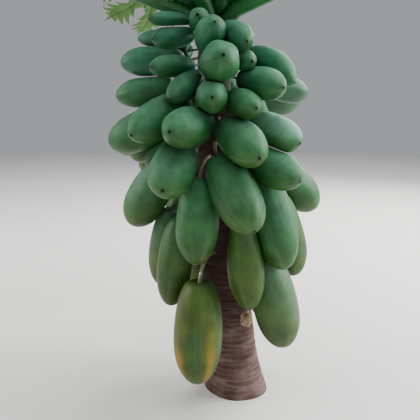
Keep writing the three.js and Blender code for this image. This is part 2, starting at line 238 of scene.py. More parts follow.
def surface(tree, shader, colour, normal):
    tree.links.new(colour, shader.inputs["Base Color"])
    tree.links.new(normal, shader.inputs["Normal"])


def new_group(name, inputs, outputs):
    """An empty node group with named sockets, and its input and output nodes."""
    tree = bpy.data.node_groups.new(name, "ShaderNodeTree")
    for label, kind, value in inputs:
        socket = tree.interface.new_socket(label, in_out="INPUT", socket_type="NodeSocket" + kind)
        if value is not None:
            socket.default_value = value
    for label, kind in outputs:
        tree.interface.new_socket(label, in_out="OUTPUT", socket_type="NodeSocket" + kind)
    return tree, tree.nodes.new("NodeGroupInput"), tree.nodes.new("NodeGroupOutput")


def plant_pores():
    """Fine pores and specks in a plant's skin: a mask of the specks and a height for bump."""
    tree, given, put = new_group(
        "plant pores",
        [("Vector", "Vector", None), ("Scale", "Float", 200.0), ("Size", "Float", 0.2)],
        [("Specks", "Float"), ("Height", "Float")],
    )
    where = given.outputs["Vector"]
    cells = node(tree, "TexVoronoi", {"Vector": where, "Scale": given.outputs["Scale"]})
    specks = ramp(tree, cells.outputs["Distance"], 0.0, given.outputs["Size"], 1.0, 0.0)
    grain = noise(tree, where, 900.0, 4.0, 0.6)
    height = node(tree, "Math", {0: grain, 1: specks}, operation="ADD").outputs[0]
    tree.links.new(specks, put.inputs["Specks"])
    tree.links.new(height, put.inputs["Height"])
    return tree


PORES = plant_pores()


def scar_rings(angle, z):
    """Rims and floors of the leaf scars, from 0 to 1, over arrays of angles round the stem and of heights."""
    rims = np.zeros_like(z)
    floors = np.zeros_like(z)
    rng = np.random.default_rng(5)
    for k in range(1, int((LOWEST_LEAF - STEM_FOOT) / SCAR_RISE)):
        height = LOWEST_LEAF - k * SCAR_RISE + rng.uniform(-SCAR_SHIFT, SCAR_SHIFT)
        rows = np.abs(z[:, 0] - height) < 4 * SCAR_HEIGHT
        heading = math.radians(FIRST_HEADING - k * DIVERGENCE)
        turn = (angle[rows] - heading + np.pi) % (2 * np.pi) - np.pi
        across = turn / math.radians(SCAR_REACH * rng.uniform(0.85, 1.15))
        tall = SCAR_HEIGHT * rng.uniform(0.75, 1.25)
        level = height - 0.5 * tall * (1 - np.minimum(across**2, 1))
        away = np.sqrt(across**2 + ((z[rows] - level) / tall) ** 2)
        rim = np.exp(-(((away - 1) / RIM_WIDTH) ** 2)) * rng.uniform(0.3, 1)
        rims[rows] = np.maximum(rims[rows], rim)
        floors[rows] = np.maximum(floors[rows], np.clip(1 - away**2, 0, 1))
    return rims, floors


def stem_mesh():
    """The stem with its scars as real relief, closed at the flat foot and at the tip."""
    turn = np.linspace(0, 2 * np.pi, STEM_SIDES, endpoint=False)
    rise = np.linspace(STEM_FOOT, STEM_TOP, STEM_RINGS)
    z, angle = np.meshgrid(rise, turn, indexing="ij")
    rims, floors = scar_rings(angle, z)
    fade = 1 - FADED * smooth(z, *SCARS_FADE)
    relief = fade * (SCAR_RIM * rims - SCAR_FLOOR * floors)
    relief += WRINKLE * ripple(angle, z, 3, 700, seed=1, count=30)
    relief += BULGE * ripple(angle, z, 4, 30, seed=2)
    relief += FOOT_RIBS * np.exp(-z / FOOT_RIBS_HEIGHT) * ripple(angle, z, 5, 4, seed=3)
    radius = stem_radius(z) + relief
    out = np.stack([np.sin(angle), -np.cos(angle), 0 * angle], -1)
    heap = Heap()
    heap.add_rings(stem_centre(z) + out * radius[..., None])
    return heap, rims, floors


def bark():
    """Purplish-brown skin, paler on the rims of its scars, darkened by painted shade behind the fruit and
    green at the crown.
    """
    made, tree, shader = new_material("bark", Roughness=0.8, Specular_IOR_Level=0.3)
    where = on_piece(tree)
    rims = painted(tree, "rim")
    floors = painted(tree, "hollow")
    patches = ramp(tree, noise(tree, where, 8.0, 4.0, 0.6), 0.36, 0.68)
    colour = mixed(tree, patches, tint(71, 45, 40), tint(108, 84, 79))
    lichen = ramp(tree, noise(tree, stretched(tree, where, (16, 16, 40)), 1.0, 6.0, 0.7), 0.48, 0.76)
    colour = laid(tree, colour, lichen, 0.45, tint(154, 142, 138))
    lines = ramp(tree, noise(tree, stretched(tree, where, (10, 10, 110)), 1.0, 4.0, 0.65), 0.52, 0.7)
    colour = laid(tree, colour, lines, 0.2, tint(74, 46, 42))
    colour = laid(tree, colour, floors, 0.3, tint(70, 48, 48))
    colour = laid(tree, colour, rims, 0.3, tint(158, 136, 132))
    height = node(tree, "SeparateXYZ", {"Vector": where}).outputs["Z"]
    values = {0: noise(tree, where, 14.0), 1: -0.25, 2: height}
    uneven = node(tree, "Math", values, operation="MULTIPLY_ADD").outputs[0]
    # Painted shade: the skin is darkened from low on the stem upwards, where the fruit and the crown shade
    # it.
    darkened = ramp(tree, uneven, 0.0, 0.3)
    colour = laid(tree, colour, darkened, 0.7, tint(52, 33, 29))
    green = ramp(tree, uneven, 0.7, 0.96)
    colour = laid(tree, colour, green, 0.8, tint(48, 66, 36))
    pores = node(tree, "Group", {"Vector": where, "Scale": 320.0, "Size": 0.35}, node_tree=PORES)
    grain = node(tree, "Math", {0: lines, 1: pores.outputs["Height"]}, operation="SUBTRACT").outputs[0]
    surface(tree, shader, colour, bumped(tree, grain, 0.5, 0.001))
    return made


BARK = bark()
stem_heap, stem_rims, stem_floors = stem_mesh()
stem = stem_heap.piece("stem", BARK)
paint(stem, "rim", stem_rims)
paint(stem, "hollow", stem_floors)
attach(stem, "root")
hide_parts("trunk")

# The fruit
# Firm green papayas with a waxy bloom, each faintly five-angled, with a dark scar where its blossom was.
# They hang so close that neighbours press flats on each other, and the lowest has begun to ripen.
FRUIT_COUNT = 54
FRUIT_POINTS = (0.22, 0.42)
FRUIT_BELLY = 1.12
BELLY_STATION = 0.6
SAME_RING = 2e-5
ARCHED_RING = 0.003
RING_SPREAD = 0.002
RING_FLATNESS = 0.001
FRUIT_SIDES = 56
FRUIT_ROWS = 64
ANGLES = 5
ANGLED = (0.02, 0.015)
FACETED = 28
MOST_ANGLED = 0.042
ANGLES_TURN = 2.4
CREST_ENDS = (0.7, 0.95)
LUMPS = 0.012
STALK_DIMPLE = (0.06, 0.16)
BLOSSOM_NUB = 0.0026
BLOSSOM_SCAR = 0.0028
GOURD = 3
NECK = 0.12
ARCHED = 30
ARCH = 0.024
ARCH_SHARE = 0.82
ARCH_AT_ENDS = 0.4
TOUCH_SOFTNESS = 0.0015
TOUCH_STEP = 0.04
TOUCH_REACH = 0.16
RIPENING = 0
RIPE_STREAKS = (
    (1, -56, 15, 0.52, 1.02),
    (0.85, 36, 11, 0.5, 0.99),
    (0.35, 30, 16, 0.25, 0.75),
    (0.22, -62, 42, -0.2, 0.8),
    (0.8, 165, 22, 0.5, 1),
)
RIPE_TIP = 0.34
STREAK_FADES = (0.25, 0.08)
GREEN_STREAK = (-12, 20, 0.3, 0.84)
STILL_GREEN = 0.24
AGE_HEIGHTS = (0.3, 0.5, 0.7, 0.95, 1.25)
FRUIT_AGES = (1.0, 0.86, 0.6, 0.42, 0.0)
AGE_SPREAD = 0.08
AGE_TO_TIP = 0.2
TIP_STAIN = (0.011, 0.034)
# Painted sunlight: a paler top, laid like a thicker bloom, on the fruit that stand in brighter light.
PAINTED_SUNLIGHT = {1: 0.2, 4: 0.25, 9: 0.2, 12: 0.12, 15: 0.55}


def lerp(pair, t):
    return pair[0] + (pair[1] - pair[0]) * t


def fruit_radius(fruit, t):
    """Radius at t, the share of the way from the stalk end, which is blunt, to the tip, which is rounder."""
    power = lerp(FRUIT_POINTS, smooth(t, 0.5, 1))
    rounded = np.sin(np.pi * np.clip(t, 0, 1) ** FRUIT_BELLY) ** power
    return fruit.width / 2 * rounded * (1 - fruit.neck * (1 - smooth(t, 0.1, 0.65)))


def solid_of(name):
    """Corners of a node's solid, and the centre of its volume."""
    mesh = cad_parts[name].data
    mesh.calc_loop_triangles()
    corners = np.array([v.co for v in mesh.vertices])
    a, b, c = (corners[[t.vertices[k] for t in mesh.loop_triangles]] for k in range(3))
    size = np.einsum("ij,ij->i", a, np.cross(b, c))
    return np.unique(corners.round(7), axis=0), ((a + b + c) / 4 * size[:, None]).sum(0) / size.sum()


def rise_of(axis):
    """The unit vector square to a fruit's axis that points most nearly up."""
    up = np.array([0, 0, 1]) - axis * axis[2]
    return up / np.linalg.norm(up)


def way_to(tip, middle, arch):
    """The rough way from a fruit's middle to its tip, with its arch taken out."""
    ahead = (tip - middle) / np.linalg.norm(tip - middle)
    for _ in range(4):
        ahead = tip - middle + ARCH_SHARE * arch * rise_of(ahead)
        ahead /= np.linalg.norm(ahead)
    return ahead


def circle_through(corners):
    """Radius, centre and normal of the circle that a ring of corners lies on."""
    middle = corners.mean(0)
    _, spread, ways = np.linalg.svd(corners - middle)
    flat = (corners - middle) @ ways[:2].T
    known = np.column_stack([2 * flat, np.ones(len(flat))])
    x, y, rest = np.linalg.lstsq(known, (flat**2).sum(1), rcond=None)[0]
    round_enough = spread[1] > RING_SPREAD and spread[2] < RING_FLATNESS
    radius = math.sqrt(rest + x * x + y * y) if round_enough else 0.0
    return radius, middle + x * ways[0] + y * ways[1], ways[2]


def fruit_from(index):
    """A fruit's axis and width, read from its solid. The tip is the corner farthest from the stalk's end, and
    the widest ring of corners lies square to the axis at a known share of the length."""
    corners, middle = solid_of(f"fruit_{index + 1:02d}")
    off = np.linalg.norm((corners - stem_centre(corners[:, 2]))[:, :2], axis=1)
    root = corners[off.argmin()]
    tip = corners[np.linalg.norm(corners - root, axis=1).argmax()]
    arch = ARCH if index == ARCHED else 0.0
    ahead = way_to(tip, middle, arch)
    behind = (tip - corners) @ ahead if arch else np.linalg.norm(corners - tip, axis=1)
    order = behind.argsort()
    breaks = np.flatnonzero(np.diff(behind[order]) > (ARCHED_RING if arch else SAME_RING)) + 1
    rings = [corners[ring] for ring in np.split(order, breaks) if len(ring) > 3]
    radius, centre, axis = max((circle_through(ring) for ring in rings), key=lambda found: found[0])
    axis = axis * np.sign(axis @ ahead)
    neck = NECK if index == GOURD else 0.0
    fruit = SimpleNamespace(index=index, axis=axis, arch=arch, neck=neck, width=1.0)
    fruit.tip = tip + ARCH_AT_ENDS * arch * rise_of(axis)
    fruit.length = (fruit.tip - centre) @ axis / (1 - BELLY_STATION)
    fruit.foot = fruit.tip - axis * fruit.length
    fruit.width = radius / fruit_radius(fruit, BELLY_STATION)
    return fruit


def lie_of(fruit):
    """The matrix of a fruit's own frame: origin at its stalk end, Z to its tip, X to its upper side."""
    up = rise_of(fruit.axis)
    across = np.cross(fruit.axis, up)
    lie = np.eye(4)
    lie[:3, :3] = np.stack([up, across, fruit.axis], 1)
    lie[:3, 3] = fruit.foot
    return lie


def age_of(fruit):
    """From 0 for the youngest to 1 for the oldest, by how low the fruit hangs."""
    middle = (fruit.foot + fruit.axis * fruit.length / 2)[2]
    return np.interp(middle, AGE_HEIGHTS, FRUIT_AGES) + AGE_SPREAD * math.sin(5 * fruit.index)


def crests(fruit, turn):
    """Where a fruit's five angles run: 1 on them and -1 halfway between."""
    return np.cos(ANGLES * turn + ANGLES_TURN * fruit.index)


def fruit_rings(fruit, rows, sides):
    """Rings of points over a fruit in its own frame, with their t and their turn round the axis."""
    steps = (1 - np.cos(np.pi * np.linspace(0.002, 0.998, rows))) / 2
    t, turn = np.meshgrid(steps, np.arange(sides) * 2 * np.pi / sides, indexing="ij")
    radius = fruit_radius(fruit, t)
    plump = np.sin(np.pi * t) ** 0.4
    angled = MOST_ANGLED if fruit.index == FACETED else lerp(ANGLED, age_of(fruit))
    radius = radius * (1 + angled * plump * crests(fruit, turn))
    radius = radius * (1 + LUMPS * plump * ripple(turn, t, 3, 9, seed=fruit.index + 20))
    z = t * fruit.length
    deep, wide = (share * fruit.width for share in STALK_DIMPLE)
    z = z + np.where(t < 0.5, deep, 0) * np.exp(-((radius / wide) ** 2))
    nub = np.exp(-((radius / (2.2 * BLOSSOM_SCAR)) ** 2))
    pit = 1.5 * np.exp(-((radius / (0.7 * BLOSSOM_SCAR)) ** 2))
    z = z + np.where(t > 0.5, BLOSSOM_NUB, 0) * (nub - pit)
    x = radius * np.cos(turn) + fruit.arch * (4 * t * (1 - t) - ARCH_AT_ENDS)
    return np.stack([x, radius * np.sin(turn), z], -1), t, turn


def axis_points(fruit, t):
    return fruit.foot + np.multiply.outer(t * fruit.length, fruit.axis)


def touching_flats(a, b):
    """Where two fruit lap: the unit vector across from a to b and the place of the flat along it, or None."""
    between = np.linalg.norm(a.foot + a.tip - b.foot - b.tip) / 2
    if between > (a.length + b.length) / 2 + TOUCH_REACH:
        return None
    t = np.arange(0, 1, TOUCH_STEP)
    on_a = axis_points(a, t)
    on_b = axis_points(b, t)
    apart = np.linalg.norm(on_a[:, None] - on_b[None], axis=2)
    gap = apart - fruit_radius(a, t)[:, None] - fruit_radius(b, t)[None]
    i, k = np.unravel_index(gap.argmin(), gap.shape)
    if gap[i, k] > 4 * TOUCH_SOFTNESS:
        return None
    across = (on_b[k] - on_a[i]) / apart[i, k]
    side_a = on_a[i] @ across + fruit_radius(a, t[i])
    side_b = on_b[k] @ across - fruit_radius(b, t[k])
    return across, (side_a + side_b) / 2


def pressed(points, across, place):
    """Points that stand past a flat are pressed back to it, with a soft edge all round the flat."""
    past = (points @ across - place + TOUCH_SOFTNESS) / TOUCH_SOFTNESS
    push = TOUCH_SOFTNESS * np.logaddexp(0, past)
    return points - push[..., None] * across


def streak(turn, t, at, wide, start, end):
    """A lengthwise streak, by the angle round the fruit and the share of the way to its tip."""
    off = (turn - math.radians(at) + np.pi) % (2 * np.pi) - np.pi
    long = smooth(t, start, start + STREAK_FADES[0]) * (1 - smooth(t, end - STREAK_FADES[1], end))
    return np.exp(-((off / math.radians(wide)) ** 2)) * long


def heading_of(fruit, points, t):
    """The heading of each point round the fruit's own axis."""
    off = points - axis_points(fruit, t)
    return np.arctan2(off[..., 0], -off[..., 1])


def still_green(fruit, points, t):
    """The part of the ripening fruit's front that is still full green, low between the streaks."""
    if fruit.index != RIPENING:
        return np.zeros_like(t)
    return streak(heading_of(fruit, points, t), t, *GREEN_STREAK)


def ripe_mask(fruit, points, t):
    """Orange-yellow streaks low on the ripening fruit, ragged and soft at their edges.

    A row of RIPE_STREAKS is a strength, an angle round the fruit, a half width, a start and an end.
    """
    if fruit.index != RIPENING:
        return np.zeros_like(t)
    turn = heading_of(fruit, points, t)
    ripe = RIPE_TIP * smooth(t, 0.84, 0.98)
    for strength, *where in RIPE_STREAKS:
        ripe = ripe + strength * streak(turn, t, *where)
    ragged = 1 + 0.35 * ripple(turn, t, 9, 30, seed=8)
    return np.clip(ripe * ragged, 0, 1)


def fruit_piece(fruit, flats, skin, scar):
    """The fruit in its own frame, with neighbours' flats pressed on it and its blossom scar at the tip."""
    rings, t, turn = fruit_rings(fruit, FRUIT_ROWS, FRUIT_SIDES)
    lie = lie_of(fruit)
    points = rings @ lie[:3, :3].T + lie[:3, 3]
    for across, place in flats:
        points = pressed(points, across, place)
    heap = Heap()
    heap.add_rings((points - lie[:3, 3]) @ lie[:3, :3])
    away = np.linalg.norm(rings[..., :2] - rings[-1, :, :2].mean(0), axis=-1)
    rows_in_scar = int(((away[:, 0] < BLOSSOM_SCAR) & (t[:, 0] > 0.5)).sum())
    in_scar = FRUIT_SIDES * (FRUIT_ROWS - 1 - rows_in_scar)
    heap.kinds = [int(in_scar <= face < len(heap.kinds) - 2) for face in range(len(heap.kinds))]
    heap.kinds[-1] = 1
    made = heap.piece(f"papaya_{fruit.index + 1:02d}", skin, scar)
    made.matrix_world = Matrix(lie.tolist())
    paint(made, "ripe", ripe_mask(fruit, points, t))
    age = age_of(fruit) + AGE_TO_TIP * (t - 0.5) - STILL_GREEN * still_green(fruit, points, t)
    paint(made, "age", np.clip(age, 0, 1))
    darkened = lerp(TIP_STAIN, max(age_of(fruit), 0) ** 4)
    paint(made, "stain", np.exp(-((away / darkened) ** 2)) * (t > 0.5))
    # Painted sunlight on a few fruit, for their material to lay on their tops.
    paint(made, "bloom_and_sky_sheen", np.full(t.shape, PAINTED_SUNLIGHT.get(fruit.index, 0.0)))
    paint(made, "crest", np.maximum(crests(fruit, turn), 0) ** 8 * smooth(t, *CREST_ENDS))
    return made


def fruit_skin():
    """Waxy skin, blue-green on the youngest fruit and olive on the oldest, with a pale bloom on top that is
    partly painted highlight.
    """
    made, tree, shader = new_material("papaya_skin", Specular_IOR_Level=0.32)
    own = node(tree, "ObjectInfo", {}).outputs["Random"]
    shift = node(tree, "CombineXYZ", {"X": own, "Y": own, "Z": own}).outputs[0]
    values = {0: shift, 1: (9.0, 7.0, 8.0), 2: on_piece(tree)}
    where = node(tree, "VectorMath", values, operation="MULTIPLY_ADD").outputs[0]
    mottle = ramp(tree, noise(tree, where, 14.0, 3.0, 0.55), 0.34, 0.68)
    young = mixed(tree, mottle, tint(2, 66, 46), tint(8, 94, 68))
    grown = mixed(tree, mottle, tint(14, 70, 30), tint(32, 96, 46))
    old = mixed(tree, mottle, tint(48, 66, 10), tint(66, 82, 16))
    age = painted(tree, "age")
    colour = mixed(tree, ramp(tree, age, 0.0, 0.5), young, grown)
    colour = mixed(tree, ramp(tree, age, 0.45, 1.0), colour, old)
    streaks = ramp(tree, noise(tree, stretched(tree, where, (64, 64, 6)), 1.0, 3.0, 0.5), 0.45, 0.72)
    colour = laid(tree, colour, streaks, 0.2, tint(70, 118, 58))
    ripe = painted(tree, "ripe")
    flush = ramp(tree, ripe, 0.0, 0.7)
    colour = laid(tree, colour, flush, 0.75, tint(124, 108, 8))
    glow = ramp(tree, ripe, 0.35, 1.1)
    colour = laid(tree, colour, glow, 0.75, tint(168, 98, 4))
    normal = node(tree, "NewGeometry", {}).outputs["Normal"]
    facing = node(tree, "SeparateXYZ", {"Vector": normal}).outputs["Z"]
    # Painted shade: a dull olive laid on the faces that look down, stronger on older fruit.
    painted_under_shade = ramp(tree, facing, -0.85, 0.15, 0.5, 0.0)
    colour = laid(tree, colour, painted_under_shade, ramp(tree, age, 0.1, 0.6, 0.3, 1.0), tint(58, 70, 14))
    # Part bloom, part painted highlight: the pale bloom is laid only on faces that look up, where the sky
    # lights them.
    upward = ramp(tree, facing, -0.4, 0.95, 0.05, 1.0)
    cloud = ramp(tree, noise(tree, where, 26.0, 5.0, 0.6), 0.3, 0.72, 0.5, 1.0)
    dusted = times(tree, cloud, ramp(tree, age, 0.3, 1.0, 1.0, 0.1))
    bloom_and_sky_sheen = times(tree, dusted, upward)
    colour = laid(tree, colour, bloom_and_sky_sheen, 0.42, tint(112, 172, 140))
    # Painted sunlight: a paler cloud on the tops of a few fruit, given per fruit.
    thick = times(tree, cloud, upward)
    colour = laid(tree, colour, painted(tree, "bloom_and_sky_sheen"), thick, tint(156, 206, 186))
    colour = laid(tree, colour, painted(tree, "crest"), 0.12, tint(110, 156, 104))
    colour = laid(tree, colour, painted(tree, "stain"), 0.6, tint(34, 48, 20))
    pores = node(tree, "Group", {"Vector": where, "Scale": 190.0, "Size": 0.15}, node_tree=PORES)
    colour = laid(tree, colour, pores.outputs["Specks"], 0.3, tint(122, 160, 100))
    rub = ramp(tree, noise(tree, stretched(tree, where, (34, 34, 15)), 1.0, 6.0, 0.7), 0.68, 0.76)
    colour = laid(tree, colour, rub, 0.35, tint(62, 60, 32))
    tree.links.new(ramp(tree, bloom_and_sky_sheen, 0.0, 0.8, 0.48, 0.66), shader.inputs["Roughness"])
    soft = noise(tree, stretched(tree, where, (26, 26, 12)), 1.0, 2.0)
    waves = bumped(tree, soft, 0.5, 0.006)
    surface(tree, shader, colour, bumped(tree, pores.outputs["Height"], 0.25, 0.0006, Normal=waves))
    return made


def blossom_scar():
    """The dry, corky scar at a fruit's tip."""
    made, tree, shader = new_material("blossom_scar", Roughness=0.9, Specular_IOR_Level=0.2)
    where = on_piece(tree)
    grains = noise(tree, where, 900.0, 3.0)
    colour = mixed(tree, grains, tint(12, 20, 12), tint(38, 42, 24))
    surface(tree, shader, colour, bumped(tree, grains, 0.5, 0.0006))
    return made


FRUIT_SKIN = fruit_skin()
BLOSSOM_SCAR_CORK = blossom_scar()
fruits = [fruit_from(index) for index in range(FRUIT_COUNT)]
flats_on = [[] for _ in fruits]
for i, first in enumerate(fruits):
    for k in range(i + 1, FRUIT_COUNT):
        flat = touching_flats(first, fruits[k])
        if flat:
            across, place = flat
            flats_on[i].append((across, place))
            flats_on[k].append((-across, -place))
for fruit, flats in zip(fruits, flats_on):
    papaya = fruit_piece(fruit, flats, FRUIT_SKIN, BLOSSOM_SCAR_CORK)
    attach(papaya, "root")
    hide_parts(f"fruit_{fruit.index + 1:02d}")

# Fruit stalks
# Short, woody stalks that grow out of the stem above the old leaf scars and bend down into the fruit, swollen
# at both ends. Where older fruit were picked, short stubs are left on the bare stem.
FRUIT_STALK = 0.031
THINNEST_STALK = 0.001
STALK_IN_BARK = 0.012
STALK_ABOVE = 0.012
STALK_HANG = 0.045
STALK_IN_FRUIT = 0.07
HIGHEST_STALK = 1.24
STALK_SIDES = 14
STALK_STEPS = 16
SWOLLEN_AT_BARK = (0.5, 0.12)
SWOLLEN_AT_FRUIT = (0.35, 0.1)
STUBS = ((46, 0.283), (-118, 0.33), (158, 0.245), (-150, 0.42))
STUB_LENGTH = 0.024
STUB_IN_BARK = 0.008
STUB_HALF = (0.022, 0.024)
STUB_SHAPE = (1.5, 1.25, 1.1, 1.02, 1.0, 0.98, 0.9, 0.5)
STUB_RAGGED = 0.12
LATEX_DROPS = ((0.4, 0.003), (0.55, 0.0045), (0.63, 0.0036), (0.72, 0.0052), (0.82, 0.003))
LATEX_HEADING = -20
DROP_ROWS = 8
DROP_SIDES = 10


def bezier(start, bend, end, steps):
    t = np.linspace(0, 1, steps)[:, None]
    return (1 - t) ** 2 * start + 2 * t * (1 - t) * bend + t**2 * end


def tube(path, radii, sides):
    """Rings of points round a path, whose frames turn no more than the path does."""
    ahead = np.gradient(path, axis=0)
    ahead /= np.linalg.norm(ahead, axis=1)[:, None]
    side = np.cross(ahead[0], [0.3, 0.2, 1.0])
    rings = []
    turn = np.arange(sides)[:, None] * 2 * np.pi / sides
    for point, way, radius in zip(path, ahead, radii):
        side = side - way * (way @ side)
        side /= np.linalg.norm(side)
        rings.append(point + radius * (np.cos(turn) * side + np.sin(turn) * np.cross(way, side)))
    return np.array(rings)


def fruit_stalk_path(fruit):
    height = min(fruit.foot[2] + STALK_ABOVE - STALK_HANG * fruit.axis[2], HIGHEST_STALK)
    out = (fruit.foot - stem_centre(fruit.foot[2])) * (1, 1, 0)
    out /= np.linalg.norm(out)
    start = stem_centre(height) + out * (stem_radius(height) - STALK_IN_BARK)
    bend = fruit.foot - 0.5 * fruit.axis * np.linalg.norm(start - fruit.foot)
    return bezier(start, bend, fruit.foot + STALK_IN_FRUIT * fruit.length * fruit.axis, STALK_STEPS)


def fruit_stalk(fruit):
    t = np.linspace(0, 1, STALK_STEPS)
    swollen = 1 + SWOLLEN_AT_BARK[0] * np.exp(-t / SWOLLEN_AT_BARK[1])
    swollen += SWOLLEN_AT_FRUIT[0] * np.exp((t - 1) / SWOLLEN_AT_FRUIT[1])
    thick = FRUIT_STALK * fruit.width + THINNEST_STALK
    return tube(fruit_stalk_path(fruit), thick * swollen, STALK_SIDES)


def stub(heading, height):
    """What is left of a stalk: short, dry and taller than wide, broken off with a blunt end."""
    turn = np.arange(STALK_SIDES)[:, None] * 2 * np.pi / STALK_SIDES
    rings = []
    for k, shape in enumerate(STUB_SHAPE):
        middle = on_stem(heading, height, STUB_LENGTH * k / (len(STUB_SHAPE) - 1) - STUB_IN_BARK)
        across = shape * STUB_HALF[0] * np.cos(turn) * direction(heading + 90, 0)
        ragged = 1 + STUB_RAGGED * np.sin(3 * turn + k)
        rings.append(middle + across + shape * STUB_HALF[1] * ragged * np.sin(turn) * (0, 0, 1))
    return np.array(rings)


def latex_drop(place, size):
    """A drop of dried milk, hanging from a stalk's skin."""
    sides = np.arange(DROP_SIDES) * 2 * np.pi / DROP_SIDES
    t, turn = np.meshgrid(np.linspace(0.04, 0.96, DROP_ROWS), sides, indexing="ij")
    radius = size * np.sin(np.pi * t) ** 0.7 * (0.6 + 0.4 * t)
    drop = np.stack([radius * np.cos(turn), -radius * np.sin(turn), size * (0.9 - 2.4 * t)], -1)
    return place + drop


def dried_latex():
    """Milky white sap, dried to a soft gloss."""
    made, tree, shader = new_material("dried_latex", Roughness=0.35)
    where = on_piece(tree)
    cloud = noise(tree, where, 600.0, 3.0)
    colour = mixed(tree, cloud, tint(206, 204, 190), tint(240, 238, 228))
    surface(tree, shader, colour, bumped(tree, cloud, 0.2, 0.0003))
    return made


def stalk_wood():
    """Green to greyish skin of a fruit stalk, with cork spots."""
    made, tree, shader = new_material("stalk_wood", Roughness=0.65)
    where = on_piece(tree)
    blotches = ramp(tree, noise(tree, where, 42.0, 4.0, 0.6), 0.4, 0.62)
    colour = mixed(tree, blotches, tint(112, 122, 88), tint(150, 138, 118))
    pores = node(tree, "Group", {"Vector": where, "Scale": 260.0, "Size": 0.3}, node_tree=PORES)
    colour = laid(tree, colour, pores.outputs["Specks"], 0.5, tint(186, 174, 146))
    surface(tree, shader, colour, bumped(tree, pores.outputs["Height"], 0.4, 0.0008))
    return made


def dry_wood():
    """The dry, pale tan wood of a broken stalk."""
    made, tree, shader = new_material("dry_wood", Roughness=0.9)
    where = on_piece(tree)
    fibres = ramp(tree, noise(tree, where, 70.0, 4.0, 0.65), 0.34, 0.62)
    colour = mixed(tree, fibres, tint(126, 100, 78), tint(176, 154, 126))
    surface(tree, shader, colour, bumped(tree, fibres, 0.5, 0.001))
    return made


STALK_WOOD = stalk_wood()
stalk_heap = Heap()
for fruit in fruits:
    stalk_heap.add_rings(fruit_stalk(fruit))
fruit_stalks = stalk_heap.piece("fruit_stalks", STALK_WOOD)
stub_heap = Heap()
for heading, height in STUBS:
    stub_heap.add_rings(stub(heading, height))
stubs = stub_heap.piece("stalk_stubs", dry_wood())
milked = fruit_stalk_path(fruits[RIPENING])
latex_heap = Heap()
to_skin = direction(LATEX_HEADING, 0) * FRUIT_STALK * fruits[RIPENING].width
for share, size in LATEX_DROPS:
    latex_heap.add_rings(latex_drop(milked[round(share * (STALK_STEPS - 1))] + to_skin, size))
latex = latex_heap.piece("latex_drops", dried_latex())
for woody in (fruit_stalks, stubs, latex):
    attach(woody, "root")

# Leaf stalks
# Long, hollow green stalks that spread from the top of the stem by the plant's spiral, each from a broad base
# that clasps the stem. They replace the cuff and the plain stalks of the four leaf groups.
LEAF_COUNT = 22
LEAF_HEIGHT = (LOWEST_LEAF, 1.478)
LEAF_RISE = (14, 76)
LEAF_STALK = (0.92, 0.45)
HEADING_WOBBLE = 3
RISE_WOBBLE = 2
LENGTH_WOBBLE = 0.1
STALK_THICK = 0.025
STALK_TAPER = 0.36
THICK_AT_STEM = (0.25, 0.05)
THICK_AT_BLADE = (0.16, 0.02)
STALK_BOW = 3
STALK_ROOT = 0.004
BLADE_SIZE = (0.365, 0.19)
BLADE_TILT = (52, 16)
BLADE_SAG = (0.3, 0.16)
BLADE_ROLL = 12
LEAF_SIDES = 16
LEAF_STEPS = 26
BASE_DROP = 0.04
BASE_WIDER = 0.5
QUARTERS = ("front", "right", "back", "left")


def wobble(i, kind):
    """A number from -1 to 1 that looks irregular and is the same on every run."""
    return (i * 0.618034 + kind * 0.754878) % 1 * 2 - 1


def leaf_plan(i):
    youth = i / (LEAF_COUNT - 1)
    leaf = SimpleNamespace(index=i, youth=youth)
    leaf.heading = FIRST_HEADING + i * DIVERGENCE + HEADING_WOBBLE * wobble(i, 13)
    leaf.height = lerp(LEAF_HEIGHT, youth)
    leaf.rise = lerp(LEAF_RISE, youth**1.1) + RISE_WOBBLE * wobble(i, 14)
    leaf.stalk = lerp(LEAF_STALK, float(smooth(youth, 0.5, 1))) * (1 + LENGTH_WOBBLE * wobble(i, 15))
    leaf.blade = lerp(BLADE_SIZE, float(smooth(youth, 0.2, 1)))
    leaf.tilt = lerp(BLADE_TILT, youth)
    leaf.roll = BLADE_ROLL * wobble(i, 12)
    leaf.sag = lerp(BLADE_SAG, youth)
    leaf.quarter = QUARTERS[int(math.floor(leaf.heading / 90 + 8.5)) % 4]
    return leaf


def leaf_path(leaf):
    root = on_stem(leaf.heading, leaf.height, -STALK_ROOT)
    bend = root + direction(leaf.heading, -leaf.rise - STALK_BOW) * leaf.stalk * 0.55
    end = root + direction(leaf.heading, -leaf.rise + STALK_BOW / 2) * leaf.stalk
    return bezier(root, bend, end, LEAF_STEPS)


def leaf_stalk(leaf):
    """The stalk with its base, which widens and runs a little way down the stem."""
    path = leaf_path(leaf)
    foot = on_stem(leaf.heading, leaf.height - BASE_DROP, -0.006)
    low = on_stem(leaf.heading, leaf.height - 0.4 * BASE_DROP, 0.006)
    path = np.vstack([[foot, low], path[1:]])
    t = np.linspace(0, 1, len(path))
    thick = STALK_THICK * leaf.stalk
    at_stem = np.exp(-t / THICK_AT_STEM[1])
    at_blade = np.exp((t - 1) / THICK_AT_BLADE[1])
    swollen = THICK_AT_STEM[0] * at_stem + THICK_AT_BLADE[0] * at_blade
    radii = thick * (lerp((1, STALK_TAPER), t) + swollen)
    radii[0] *= 0.55
    rings = tube(path, radii, LEAF_SIDES)
    side = direction(leaf.heading + 90, 0)
    wider = BASE_WIDER * at_stem[:, None, None]
    return rings + wider * ((rings - path[:, None]) @ side)[..., None] * side


